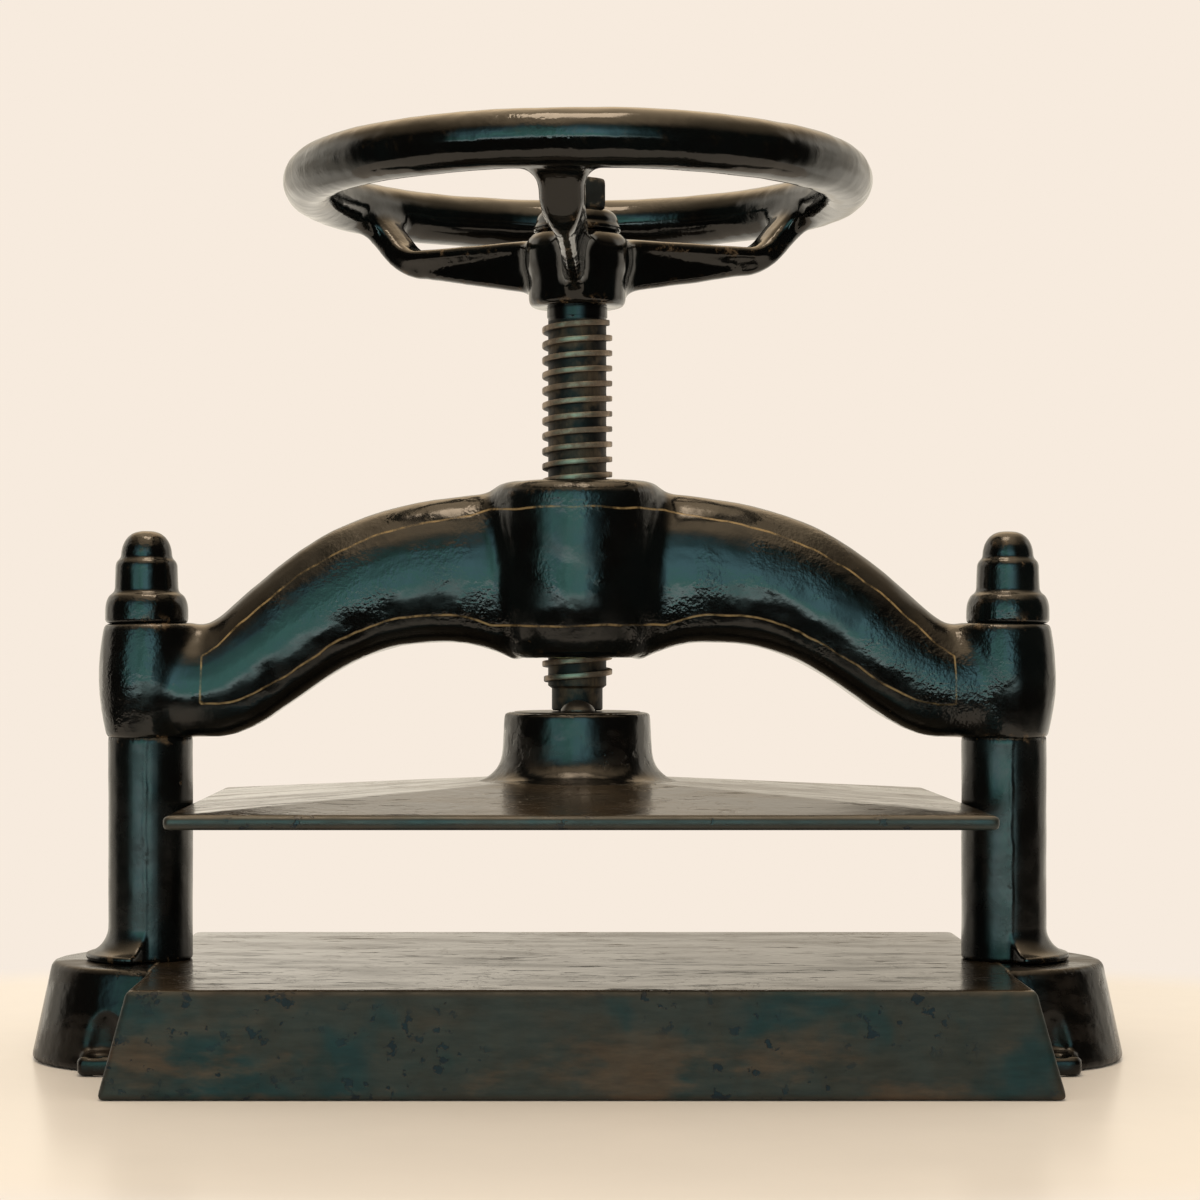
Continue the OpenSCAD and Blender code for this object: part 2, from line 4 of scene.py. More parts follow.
import bmesh
import bpy
import numpy as np
import openvdb
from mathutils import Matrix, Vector


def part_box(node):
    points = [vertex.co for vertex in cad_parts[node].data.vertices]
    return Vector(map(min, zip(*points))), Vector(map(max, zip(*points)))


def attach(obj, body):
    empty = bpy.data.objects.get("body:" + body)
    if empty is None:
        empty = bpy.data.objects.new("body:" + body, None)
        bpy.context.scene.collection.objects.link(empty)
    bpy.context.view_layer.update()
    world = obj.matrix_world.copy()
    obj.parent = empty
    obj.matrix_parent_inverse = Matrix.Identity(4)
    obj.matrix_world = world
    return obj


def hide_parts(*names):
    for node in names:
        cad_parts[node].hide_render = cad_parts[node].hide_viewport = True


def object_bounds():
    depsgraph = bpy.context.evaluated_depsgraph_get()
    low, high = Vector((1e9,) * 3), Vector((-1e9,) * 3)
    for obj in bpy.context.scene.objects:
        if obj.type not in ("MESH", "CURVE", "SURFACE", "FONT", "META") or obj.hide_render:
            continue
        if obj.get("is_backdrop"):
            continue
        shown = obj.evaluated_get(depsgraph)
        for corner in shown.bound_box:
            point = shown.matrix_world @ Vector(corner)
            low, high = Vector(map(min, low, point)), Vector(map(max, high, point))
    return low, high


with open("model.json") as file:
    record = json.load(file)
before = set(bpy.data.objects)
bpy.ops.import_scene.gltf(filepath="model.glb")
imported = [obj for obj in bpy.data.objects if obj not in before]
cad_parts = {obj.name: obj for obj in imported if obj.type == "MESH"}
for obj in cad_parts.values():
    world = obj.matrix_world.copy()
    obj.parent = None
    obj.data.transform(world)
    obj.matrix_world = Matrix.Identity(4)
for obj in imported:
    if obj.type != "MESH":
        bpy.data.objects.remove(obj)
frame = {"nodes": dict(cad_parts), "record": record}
cad_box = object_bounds()
scene = bpy.context.scene
nodes = frame["nodes"]
record = frame["record"]
slots = {part["node"]: part["material_slot"] for part in record["subparts"]}
bodies = {}
for body, members in record["behaviour"]["bodies"].items():
    bodies.update(dict.fromkeys(members, body))

MM = 0.001
IMAGE = 1200  # width and height of the picture, in pixels
SMOOTHING = (0.5, -0.51) * 4  # steps that smooth a casting's skin without shrinking it
PAINTED_UP = 1 * MM  # how far paint carries a column's top into the bridge
LINING_ZERO = 100.0  # stored on a lining's middle, so that pieces without one are far from it


# Meshes

def vertex_values(made, key):
    values = np.empty(len(made.data.vertices) * 3, np.float32)
    made.data.vertices.foreach_get(key, values)
    return values.reshape(-1, 3).astype(np.float64)


def places_of(made):
    return vertex_values(made, "co")


def move_to(made, points):
    made.data.vertices.foreach_set("co", points.astype(np.float32).ravel())
    made.data.update()


def mesh_arrays(node):
    """Points and triangles of a CAD node."""
    mesh = nodes[node].data
    mesh.calc_loop_triangles()
    corners = np.empty(len(mesh.loop_triangles) * 3, np.int32)
    mesh.loop_triangles.foreach_get("vertices", corners)
    return places_of(nodes[node]), corners.reshape(-1, 3)


def add_mesh(name, points, faces):
    mesh = bpy.data.meshes.new(name)
    mesh.from_pydata(points.tolist(), [], faces.tolist())
    mesh.update()
    mesh.shade_smooth()
    made = bpy.data.objects.new(name, mesh)
    scene.collection.objects.link(made)
    return made


def store(made, name, values):
    attribute = made.data.attributes.new(name, "FLOAT", "POINT")
    attribute.data.foreach_set("value", np.asarray(values, np.float32))


def stand_for(made, node):
    """Puts a piece on the body of the CAD node that it replaces, and hides that node."""
    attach(made, bodies[node])
    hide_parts(node)


# The castings

def offset(points, faces, voxel, by):
    """The closed surface that stands by outside (or inside) of the given one, as quads."""
    spare_voxels = 3
    kind = "triangles" if faces.shape[1] == 3 else "quads"
    grid = openvdb.FloatGrid.createLevelSetFromPolygons(
        points.astype(np.float32),
        **{kind: faces.astype(np.uint32)},
        transform=openvdb.createLinearTransform(voxelSize=voxel),
        halfWidth=abs(by) / voxel + spare_voxels,
    )
    return grid.convertToQuads(isovalue=by)


class Neighbours:
    """Means over the points next to each point of a quad mesh."""

    def __init__(self, quads, size):
        self.ends = np.concatenate([quads[:, [i, (i + 1) % 4]] for i in range(4)])
        self.size = size
        count = np.bincount(self.ends.ravel(), minlength=size)
        self.count = np.maximum(count, 1)[:, None]

    def mean(self, values):
        total = np.zeros_like(values)
        for axis in range(values.shape[1]):
            total[:, axis] = np.bincount(self.ends[:, 0], values[self.ends[:, 1], axis], self.size)
            total[:, axis] += np.bincount(self.ends[:, 1], values[self.ends[:, 0], axis], self.size)
        return total / self.count


def lumps(points, seed, depth, longest, shortest):
    """A height for each point: waves in many directions, as on a hand-fettled casting."""
    waves = 14
    phases = 6.28
    sway, sway_rate = 1.2, 2.2
    rng = np.random.default_rng(seed)
    height = np.zeros(len(points))
    for i in range(waves):
        direction = rng.normal(size=3)
        direction /= np.linalg.norm(direction)
        length = longest * (shortest / longest) ** (i / (waves - 1))
        bend = sway * np.sin(points @ rng.normal(size=3) * sway_rate / length + rng.uniform(0, phases))
        height += np.sin(points @ direction * 2 * math.pi / length + rng.uniform(0, phases) + bend)
    return height * depth / math.sqrt(waves / 2)


def mould_seam(points, normals, height):
    """The ragged ridge left along a round casting where the halves of its mould met, front and back."""
    ridge_half = 0.7 * MM
    bolt_hole_r = 14 * MM
    least_facing, facing_blend = 0.85, 0.1
    shaft = points[points[:, 2] > (points[:, 2].min() + points[:, 2].max()) / 2]
    middle = (shaft[:, 0].min() + shaft[:, 0].max()) / 2
    level = points * [0, 0, 1]
    off = points[:, 0] - middle + lumps(level, 8, 0.2 * MM, 40 * MM, 6 * MM)
    ragged = 1 + lumps(level, 9, 0.2, 40 * MM, 8 * MM)
    facing = np.clip((np.abs(normals[:, 1]) - least_facing) / facing_blend, 0, 1)
    outside = np.hypot(points[:, 0] - middle, points[:, 1]) > bolt_hole_r
    return height * ragged * facing * outside * np.exp(-(off / ridge_half) ** 2)


def cast(node, voxel, fillet, edge, lump, seam):
    """A casting: the CAD node's shape with filled inner corners, rounded edges and a lumpy skin.

    A seamed casting's top goes up into the piece on it, because paint has closed that joint."""
    bulge_reach = 3 * MM
    points, faces = mesh_arrays(node)
    if fillet:
        points, faces = offset(points, faces, voxel, fillet)
    points, faces = offset(points, faces, voxel, -fillet - edge)
    points, faces = offset(points, faces, voxel, edge)
    points = points.astype(np.float64)
    near = Neighbours(faces, len(points))
    for weight in SMOOTHING:
        points += weight * (near.mean(points) - points)
    made = add_mesh("cast_" + node, points, faces[:, ::-1])
    normals = vertex_values(made, "normal")
    smooth = points.copy()
    for i in range(max(3, round((bulge_reach / voxel) ** 2))):
        smooth = near.mean(smooth)
    store(made, "bulge", np.einsum("ij,ij->i", points - smooth, normals) / MM)
    if lump:
        points += normals * lumps(points, 5, lump, 60 * MM, 13 * MM)[:, None]
    if seam:
        points += normals * mould_seam(points, normals, seam)[:, None]
        top = points[:, 2].max()
        points[points[:, 2] > top - PAINTED_UP, 2] += PAINTED_UP
    move_to(made, points)
    stand_for(made, node)
    return made


def widen_foot(made):
    """Spreads the flare where the platen's round boss runs out into its back."""
    spread, flare_height, sunk = 3.5 * MM, 13 * MM, 6 * MM
    inner_r, outer_r, blend = 30.9 * MM, 54 * MM, 14 * MM
    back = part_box("platen")[0][2] + 14.5 * MM
    points = places_of(made)
    radius = np.hypot(points[:, 0], points[:, 1])
    height = points[:, 2] - back
    share = np.clip(1 - height / flare_height, 0, 1) ** 2 * np.clip((outer_r - radius) / blend, 0, 1)
    share *= (radius > inner_r) * (height > -sunk)
    points[:, :2] *= (1 + spread * share / np.maximum(radius, inner_r))[:, None]
    move_to(made, points)


# The screw

def build_screw():
    """A turned bar with a right-hand square thread worn round on its crests, as rows around its axis."""
    low, high = (Vector(c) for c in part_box("press_screw"))
    cup_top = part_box("platen")[1][2]
    hub_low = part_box("hand_wheel")[0][2]
    pitch = record["behaviour"]["couplings"][0]["ratio"] * 2 * math.pi
    start = math.radians(142)
    columns = 96
    depth, crest_w = 2.45 * MM, 2.75 * MM
    root_r = high.x - depth
    thread_low, thread_high = cup_top + 11.4 * MM, hub_low - 4 * MM

    # One turn of the thread: place along the screw and rise over its root
    flank, worn, crown, groove = 0.12 * MM, 0.45 * MM, 0.02 * MM, -0.05 * MM
    rising = [
        (0.0, 0.0),
        (0.10 * MM, 0.25 * MM),
        (flank + 0.08 * MM, depth - worn),
        (flank + 0.20 * MM, depth - 0.12 * MM),
        (flank + worn, depth),
    ]
    falling = [(crest_w - along, rise) for along, rise in reversed(rising)]
    profile = [*rising, (crest_w / 2, depth + crown), *falling]
    profile += [(crest_w + 1.2 * MM, groove), (crest_w + 2.4 * MM, groove)]

    # The plain bar below and above the thread: radius and height
    foot_r, foot_edge = 11.4 * MM, 2 * MM
    waist_r, waist_low, waist_high = 8 * MM, cup_top - 5.3 * MM, cup_top + 0.4 * MM
    spindle_r, spindle_edge = 10.65 * MM, 0.6 * MM
    below = [
        (0, low.z),
        (foot_r - foot_edge, low.z),
        (foot_r, low.z + foot_edge),
        (foot_r, waist_low),
        (waist_r, waist_low),
        (waist_r, waist_high),
        (spindle_r - spindle_edge, waist_high),
        (spindle_r, waist_high + spindle_edge),
        (spindle_r, thread_low - 1.8 * MM),
        (root_r, thread_low - 0.6 * MM),
    ]
    neck_r = root_r + 0.4 * MM
    seat_r = 10.5 * MM
    stud_r, stud_low, stud_edge = 8.5 * MM, high.z - 22.6 * MM, 1 * MM
    above = [
        (neck_r, thread_high),
        (neck_r, hub_low),
        (seat_r, hub_low),
        (seat_r, stud_low),
        (stud_r, stud_low),
        (stud_r, high.z - stud_edge),
        (stud_r - stud_edge, high.z),
        (0, high.z),
    ]

    fade_in = 0.22
    last = (thread_high - thread_low - crest_w - 0.4 * MM) / pitch
    turn = np.arange(columns + 1) / columns
    even = np.ones(columns + 1)
    rows = [(r * even, z * even) for r, z in below]
    for k in range(-1, math.ceil((thread_high - thread_low) / pitch) + 1):
        turns = k + turn
        shown = np.clip(turns / fade_in, 0, 1) * np.clip((last - turns) / fade_in, 0, 1)
        for along, rise in profile:
            height = np.clip(thread_low + turns * pitch + along, thread_low - 0.5 * MM, thread_high)
            rows.append((root_r + rise * np.sqrt(shown), height))
    rows += [(r * even, z * even) for r, z in above]

    angle = start + turn * 2 * math.pi
    rings = [np.stack([r * np.cos(angle), r * np.sin(angle), z], 1) for r, z in rows]
    first = (np.arange(len(rows) - 1)[:, None] * (columns + 1) + np.arange(columns)).ravel()
    faces = np.stack([first, first + 1, first + columns + 2, first + columns + 1], 1)
    made = add_mesh("turned_press_screw", np.concatenate(rings), faces)
    work = bmesh.new()
    work.from_mesh(made.data)
    bmesh.ops.remove_doubles(work, verts=work.verts, dist=0.004 * MM)
    bmesh.ops.dissolve_degenerate(work, edges=work.edges, dist=0.002 * MM)
    work.to_mesh(made.data)
    work.free()
    made.data.shade_smooth()
    made.data.set_sharp_from_angle(angle=math.radians(40))
    points = places_of(made)
    store(made, "crest", np.clip((np.hypot(points[:, 0], points[:, 1]) - root_r) / depth, 0, 1))
    stand_for(made, "press_screw")
    return made


# Marks on the pieces, which their materials read

def add_lining(made):
    """Stores how far each point is inside the lined panel, in millimetres, counted from LINING_ZERO."""
    arm_start, arm_end, panel_end = 44 * MM, 158 * MM, 155.5 * MM
    slice_half = 1.6 * MM
    points = places_of(made)
    across, height = np.abs(points[:, 0]), points[:, 2]
    stations = np.linspace(arm_start, arm_end, 39)
    slices = [height[np.abs(across - station) < slice_half] for station in stations]
    along = (stations - arm_start) / (arm_end - arm_start)
    upper = np.array([here.max() for here in slices]) - (9 + 5 * along) * MM
    lower = np.array([here.min() for here in slices]) + (11 + 3.5 * along) * MM
    boss_upper = height[across < 20 * MM].max() - 12 * MM
    boss_lower = height[across < 30 * MM].min() + 14 * MM
    stations = np.concatenate([[0, 36 * MM], stations])
    inside = panel_end - across
    for side, on_boss, on_arm in ((1, boss_upper, upper), (-1, boss_lower, lower)):
        line = np.concatenate([[on_boss, on_boss], on_arm])
        lean = np.sqrt(1 + np.interp(across, stations, np.gradient(line, stations)) ** 2)
        inside = np.minimum(inside, side * (np.interp(across, stations, line) - height) / lean)
    inside += lumps(points, 12, 0.25 * MM, 60 * MM, 15 * MM)
    store(made, "lining", inside / MM + LINING_ZERO)


def block_edges(half_low, half_high, z_low, z_high):
    """The twelve edges of a block with sloping sides."""
    corners = ((-1, -1), (1, -1), (1, 1), (-1, 1))
    low = [(x * half_low[0], y * half_low[1], z_low) for x, y in corners]
    high = [(x * half_high[0], y * half_high[1], z_high) for x, y in corners]
    for i in range(4):
        yield low[i], low[(i + 1) % 4]
        yield high[i], high[(i + 1) % 4]
        yield low[i], high[i]


def mark_edges(made, edges):
    """Stores how far each point is from the nearest of some straight edges, in millimetres."""
    points = places_of(made)
    nearest = np.full(len(points), 1.0)
    for start, end in edges:
        start = np.array(start)
        along = np.array(end) - start
        share = np.clip((points - start) @ along / (along @ along), 0, 1)
        nearest = np.minimum(nearest, np.linalg.norm(points - start - share[:, None] * along, axis=1))
    store(made, "edge", nearest / MM)


def mark_base(made):
    """The lugs and the ears are glossy, and the bed's edges are worn."""
    top = Vector((173.5 * MM, 107 * MM, 40.6 * MM))
    flare, blend = 10 * MM, 1 * MM
    foot = top + Vector((flare, flare, 0))
    mark_edges(made, block_edges(foot, top, 0, top.z))
    points = places_of(made)
    beyond = np.abs(points[:, 0]) - top.x - flare * (1 - points[:, 2] / top.z)
    store(made, "gloss", np.clip(beyond / blend, 0, 1))


def mark_platen(made):
    """The round boss is glossy, and the plate's edges are worn."""
    plate, gloss_height, gloss_r, blend = 5.5 * MM, 10 * MM, 38.2 * MM, 1 * MM
    low, high = (Vector(c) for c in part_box("platen"))
    mark_edges(made, block_edges(high, high, low.z, low.z + plate))
    points = places_of(made)
    radius = np.hypot(points[:, 0], points[:, 1])
    above = points[:, 2] - low.z > gloss_height
    store(made, "gloss", np.clip((gloss_r - radius) / blend, 0, 1) * above)


# Materials

class Nodes:
    """Short names for building a material's node tree."""

    def __init__(self, name):
        self.material = bpy.data.materials.new(name)
        self.material.use_nodes = True
        self.tree = self.material.node_tree
        self.shader = self.tree.nodes["Principled BSDF"]
        self.coords = self.tree.nodes.new("ShaderNodeTexCoord").outputs["Object"]

    def make(self, kind, values=(), **settings):
        made = self.tree.nodes.new("ShaderNode" + kind)
        for key, value in settings.items():
            setattr(made, key, value)
        for key, value in dict(values).items():
            self.put(made.inputs[key], value)
        return made

    def put(self, socket, value):
        if isinstance(value, bpy.types.NodeSocket):
            self.tree.links.new(value, socket)
        elif isinstance(value, tuple) and len(value) == 3 and socket.type == "RGBA":
            socket.default_value = (*value, 1)
        else:
            socket.default_value = value

    def set(self, **sockets):
        for key, value in sockets.items():
            self.put(self.shader.inputs[key.replace("_", " ")], value)

    def stretched(self, x, y, z):
        return self.make("Mapping", {"Vector": self.coords, "Scale": (x, y, z)}).outputs[0]

    def noise(self, size, detail=3.0, rough=0.55, vector=None):
        """Noise whose grain is size metres."""
        values = {"Vector": vector or self.coords, "Scale": 1 / size, "Detail": detail, "Roughness": rough}
        return self.make("TexNoise", values).outputs["Fac"]

    def ramp(self, value, low, high):
        """0 at low, 1 at high, smooth between."""
        values = {"Value": value, "From Min": low, "From Max": high}
        return self.make("MapRange", values, interpolation_type="SMOOTHSTEP").outputs[0]

    def math(self, operation, a, b=0.0):
        made = self.make("Math", operation=operation)
        self.put(made.inputs[0], a)
        self.put(made.inputs[1], b)
        return made.outputs[0]

    def inverse(self, value):
        return self.math("SUBTRACT", 1.0, value)

    def times(self, *values):
        product = values[0]
        for value in values[1:]:
            product = self.math("MULTIPLY", product, value)
        return product

    def mix(self, fac, a, b):
        made = self.make("Mix", data_type="RGBA")
        self.put(made.inputs["Factor"], fac)
        self.put(made.inputs[6], a)
        self.put(made.inputs[7], b)
        return made.outputs[2]

    def mix_value(self, fac, a, b):
        made = self.make("Mix", data_type="FLOAT")
        self.put(made.inputs["Factor"], fac)
        self.put(made.inputs[2], a)
        self.put(made.inputs[3], b)
        return made.outputs[0]

    def attribute(self, name):
        return self.make("Attribute", attribute_name=name).outputs["Fac"]

    def upward(self):
        """How far the surface faces up, -1 to 1."""
        normal = self.make("NewGeometry").outputs["Normal"]
        return self.make("SeparateXYZ", {"Vector": normal}).outputs["Z"]

    def place(self, axis):
        return self.make("SeparateXYZ", {"Vector": self.coords}).outputs[axis]

    def bump(self, height, depth, normal=None):
        """A bump whose height of 1 is depth metres."""
        made = self.make("Bump", {"Strength": 1.0, "Distance": depth, "Height": height})
        if normal:
            self.put(made.inputs["Normal"], normal)
        return made.outputs[0]


ENAMEL_BLACK = (0.0018, 0.0019, 0.0018)
ENAMEL_BLUE = (0.0020, 0.0032, 0.0034)
ENAMEL_RUBBED = (0.085, 0.055, 0.028)
GOLD_LINE = (0.32, 0.22, 0.09)

BED_SIDE = (0.018, 0.019, 0.016)
BED_TEAL = (0.003, 0.016, 0.018)
BED_BROWN = (0.045, 0.030, 0.019)
BED_SPOT = (0.001, 0.006, 0.012)
BED_TOP = (0.040, 0.029, 0.018)
BED_TOP_DARK = (0.022, 0.018, 0.013)
BED_STREAK = (0.006, 0.005, 0.005)
BED_WORN_EDGE = (0.22, 0.18, 0.13)
LUG_BLACK = (0.0022, 0.0022, 0.0020)
LUG_BROWN = (0.018, 0.012, 0.008)

STEEL_DARK = (0.20, 0.155, 0.115)
STEEL_BRIGHT = (0.44, 0.355, 0.275)
GREASE_BLACK = (0.003, 0.0025, 0.002)
GREASE_BROWN = (0.100, 0.070, 0.040)
NECK_BLACK = (0.002, 0.002, 0.002)


def enamel(name, glossy, dull, grain):
    """Black enamel on a casting, rubbed brown on the edges, with worn gold lining and a patchy grain."""
    n = Nodes(name)
    deep = n.mix(n.ramp(n.noise(35 * MM, 4), 0.40, 0.62), ENAMEL_BLACK, ENAMEL_BLUE)
    rub = n.times(n.ramp(n.attribute("bulge"), 0.12, 0.45), n.ramp(n.noise(7 * MM, 5, 0.7), 0.54, 0.68))
    chips = n.times(n.ramp(n.noise(4.2 * MM, 2), 0.735, 0.765), n.ramp(n.noise(50 * MM, 2), 0.48, 0.62))
    colour = n.mix(n.math("MAXIMUM", rub, n.times(chips, 0.5)), deep, ENAMEL_RUBBED)
    off_line = n.math("ABSOLUTE", n.math("SUBTRACT", n.attribute("lining"), LINING_ZERO))
    worn = n.mix_value(n.ramp(n.noise(14 * MM, 5, 0.7), 0.40, 0.58), 0.08, 0.75)
    line = n.times(n.inverse(n.ramp(off_line, 0.15, 0.60)), worn)
    n.set(Base_Color=n.mix(line, colour, GOLD_LINE))
    rough = n.mix_value(n.ramp(n.noise(12 * MM, 5), 0.35, 0.7), glossy, dull)
    n.set(Roughness=n.mix_value(n.math("MAXIMUM", rub, line), rough, 0.42))
    n.set(IOR=1.46)
    coarse = n.ramp(n.noise(30 * MM, 3), 0.47, 0.62)
    peel = n.times(n.noise(4.2 * MM, 2, 0.5), n.mix_value(coarse, 0.3, 1.0))
    fine = n.times(n.noise(1.5 * MM, 1, 0.5), n.mix_value(coarse, 0.12, 1.0))
    normal = n.bump(n.noise(14 * MM, 2, 0.5), 0.26 * MM)
    normal = n.bump(peel, 0.14 * MM * grain, normal)
    normal = n.bump(fine, 0.18 * MM * grain, normal)
    n.set(Normal=n.bump(n.math("MAXIMUM", chips, line), -0.03 * MM, normal))
    return n.material


def bed_enamel(name, satin_rough, index):
    """Satin green-black paint, streaked on top, mottled teal and brown at the sides, black where glossy."""
    n = Nodes(name)
    gloss = n.attribute("gloss")
    top = n.ramp(n.upward(), 0.80, 0.95)
    moved = n.make("Mapping", {"Vector": n.coords, "Location": (0.19, 0, 0)}).outputs[0]
    teal = n.ramp(n.noise(45 * MM, 4, 0.55, moved), 0.52, 0.66)
    brown = n.ramp(n.noise(30 * MM, 5, 0.6, n.stretched(0.6, 1, 1.6)), 0.48, 0.64)
    low_down = n.mix_value(n.ramp(n.place("Z"), 12 * MM, 32 * MM), 1.0, 0.3)
    brushed = n.mix_value(n.noise(2.8 * MM, 4, 0.6, n.stretched(0.22, 1, 1)), 0.3, 1.9)
    cluster = n.ramp(n.noise(50 * MM, 2, 0.55, moved), 0.48, 0.58)
    spots = n.times(n.ramp(n.noise(5.5 * MM, 3, 0.55, moved), 0.58, 0.64), cluster)
    side = n.mix(teal, BED_SIDE, BED_TEAL)
    side = n.mix(n.times(brown, low_down), side, BED_BROWN)
    side = n.make("VectorMath", {0: side, "Scale": brushed}, operation="SCALE").outputs[0]
    side = n.mix(spots, side, BED_SPOT)
    streak = n.ramp(n.noise(3.5 * MM, 4, 0.6, n.stretched(0.16, 1, 1)), 0.60, 0.70)
    over = n.mix(n.ramp(n.noise(50 * MM, 4), 0.35, 0.65), BED_TOP, BED_TOP_DARK)
    over = n.mix(streak, over, BED_STREAK)
    black_paint = n.mix(n.times(brown, 0.4), LUG_BLACK, LUG_BROWN)
    colour = n.mix(gloss, n.mix(top, side, over), black_paint)
    bare = n.inverse(n.ramp(n.attribute("edge"), 0.35, 0.95))
    rub = n.times(bare, n.mix_value(n.ramp(n.noise(8 * MM, 5, 0.7), 0.42, 0.60), 0.15, 1.0))
    n.set(Base_Color=n.mix(rub, colour, BED_WORN_EDGE))
    satin = n.mix_value(n.ramp(n.noise(12 * MM, 5), 0.35, 0.7), satin_rough, satin_rough + 0.14)
    polish = n.mix_value(n.ramp(n.noise(20 * MM, 4, 0.6, n.stretched(0.3, 1, 1)), 0.35, 0.7), 0.12, 0.26)
    rough = n.mix_value(top, satin, n.mix_value(streak, polish, 0.55))
    n.set(Roughness=n.mix_value(gloss, rough, n.mix_value(brown, 0.20, 0.40)))
    n.set(IOR=index)
    normal = n.bump(n.noise(4.5 * MM, 4, 0.6), 0.11 * MM)
    normal = n.bump(n.times(n.noise(16 * MM, 3, 0.5), gloss), 0.8 * MM, normal)
    n.set(Normal=n.bump(n.math("MAXIMUM", n.times(streak, top), spots), -0.16 * MM, normal))
    return n.material


def screw_metal(name):
    """Turned steel, bright on the thread's worn crests, black with old grease in its roots and neck."""
    n = Nodes(name)
    crest = n.ramp(n.attribute("crest"), 0.55, 0.98)
    bare = n.times(crest, n.mix_value(n.ramp(n.noise(9 * MM, 4, 0.65), 0.38, 0.58), 0.35, 1.0))
    hub_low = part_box("hand_wheel")[0][2]
    neck = n.ramp(n.place("Z"), hub_low - 6 * MM, hub_low - 5 * MM)
    metal = n.mix(n.noise(4 * MM, 4), STEEL_DARK, STEEL_BRIGHT)
    grease = n.ramp(n.noise(11 * MM, 4, 0.6), 0.40, 0.60)
    drawn = n.noise(1.2 * MM, 3, 0.6, n.stretched(1, 1, 0.2))
    root = n.mix(n.times(grease, drawn), GREASE_BLACK, GREASE_BROWN)
    root = n.mix(neck, root, NECK_BLACK)
    n.set(Base_Color=n.mix(bare, root, metal))
    n.set(Metallic=bare)
    root_rough = n.mix_value(neck, 0.58, 0.22)
    n.set(Roughness=n.mix_value(bare, root_rough, n.mix_value(n.noise(3 * MM, 4), 0.42, 0.58)))
    n.set(Specular_IOR_Level=0.3)
    rings = n.noise(1.2 * MM, 3, 0.5, n.stretched(0.25, 0.25, 1.0))
    n.set(Normal=n.bump(rings, 0.04 * MM))
    return n.material


def plain_metal(name, dark, light, rough, metallic):
    """Turned or blackened metal with a fine grain and stains."""
    n = Nodes(name)
    n.set(Base_Color=n.mix(n.ramp(n.noise(8 * MM, 5, 0.6), 0.3, 0.7), dark, light))
    n.set(Metallic=metallic)
    n.set(Roughness=n.mix_value(n.noise(4 * MM, 4), rough, rough + 0.18))
    n.set(Normal=n.bump(n.noise(1.4 * MM, 4), 0.05 * MM))
    return n.material


looks = {
    "japanned_iron": enamel("japanned_enamel", 0.13, 0.24, 1.0),
    "bed_iron": bed_enamel("bed_enamel", 0.48, 1.33),
    "platen_iron": bed_enamel("platen_enamel", 0.30, 1.44),
    "keep_iron": plain_metal("blackened_iron", (0.016, 0.014, 0.012), (0.05, 0.044, 0.036), 0.24, 0.3),
    "screw_steel": screw_metal("greasy_screw_steel"),
    "bolt_steel": plain_metal("bolt_steel", (0.16, 0.15, 0.14), (0.30, 0.29, 0.27), 0.3, 1.0),
    "bronze": plain_metal("turned_bronze", (0.28, 0.18, 0.07), (0.50, 0.35, 0.15), 0.25, 1.0),
}
wheel_black = enamel("wheel_enamel", 0.08, 0.16, 0.5)
column_black = enamel("column_enamel", 0.20, 0.32, 0.25)
own_looks = {
    "left_column": column_black,
    "right_column": column_black,
    "hand_wheel": wheel_black,
    "wheel_washer": wheel_black,
    "wheel_nut": enamel("nut_enamel", 0.75, 0.90, 0.5),
}

# Pieces: voxel, fillet, edge, lump and seam in millimetres

shown = {}
for node, *sizes in (
    ("base", 1.3, 0, 0.8, 0, 0),
    ("left_column", 0.7, 1.5, 0.3, 0.05, 0.3),
    ("right_column", 0.7, 1.5, 0.3, 0.05, 0.3),
    ("bridge", 1.2, 7.5, 0.5, 0.09, 0),
    ("left_finial", 0.6, 1.0, 0.8, 0.04, 0),
    ("right_finial", 0.6, 1.0, 0.8, 0.04, 0),
    ("platen", 1.2, 0, 0.7, 0, 0),
    ("hand_wheel", 1.0, 8.5, 1.5, 0.08, 0),
    ("wheel_washer", 0.6, 0, 0.8, 0.03, 0),
    ("wheel_nut", 0.5, 0, 0.8, 0.03, 0),
    ("keep_screws", 0.4, 0, 0.4, 0, 0),
    ("front_keep", 0.5, 0, 0.5, 0, 0),
    ("back_keep", 0.5, 0, 0.5, 0, 0),
):
    shown[node] = cast(node, *(size * MM for size in sizes))
shown["press_screw"] = build_screw()
add_lining(shown["bridge"])
mark_base(shown["base"])
mark_platen(shown["platen"])
widen_foot(shown["platen"])
for node, solid in nodes.items():
    piece = shown.get(node, solid)
    piece.data.materials.clear()
    piece.data.materials.append(own_looks.get(node, looks[slots[node]]))

# Floor and light

BACKDROP = (0.93, 0.83, 0.73)
SOFT_LIGHT = (0.92, 0.82, 0.69)
WALL_PALE = (1.45, 1.33, 1.13)
WALL_DIM = (0.85, 0.76, 0.62)
ROOM_DARK = (0.010, 0.009, 0.008)
CEILING_DIM = (0.62, 0.45, 0.27)
CEILING_LIT = (2.5, 1.85, 1.15)
PANE_GREEN = (0.95, 2.55, 2.25)
PANE_BLUE = (1.15, 2.45, 2.75)
SILL = (3.6, 4.6, 4.5)
TABLE_TOP = (0.86, 0.83, 0.79)
TABLE_HALF = (0.56, 0.37)
TABLE_POINTS = 128


